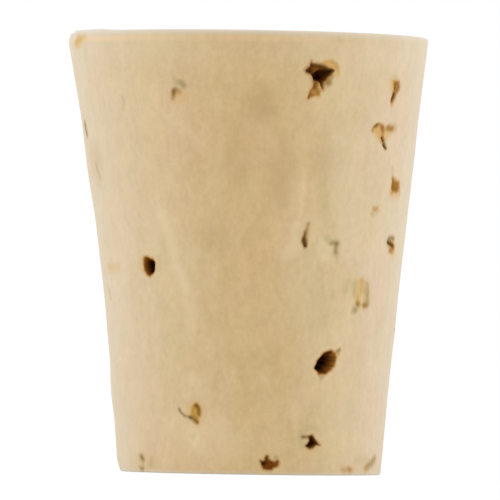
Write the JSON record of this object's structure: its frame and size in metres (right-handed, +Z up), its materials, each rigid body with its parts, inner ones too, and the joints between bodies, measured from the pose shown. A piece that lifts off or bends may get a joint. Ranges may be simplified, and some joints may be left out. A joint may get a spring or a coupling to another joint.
{
  "type": "cork stopper",
  "caption": "Tapered natural cork stopper with open pores, pressed narrow end first into a bottle or tube neck to close it.",
  "frame": {"origin": "middle of the level narrow end, which the stopper stands on", "axes": "+Z up from the narrow end to the wide end, -Y the front, which faces the viewer, +X to the viewer's right"},
  "size_m": [0.0224, 0.0224, 0.027],
  "materials": {
    "cork": "matte natural cork, pale tan, with dark brown pores"
  },
  "bodies": {
    "root": {"stopper": "cork"}
  },
  "joints": []
}
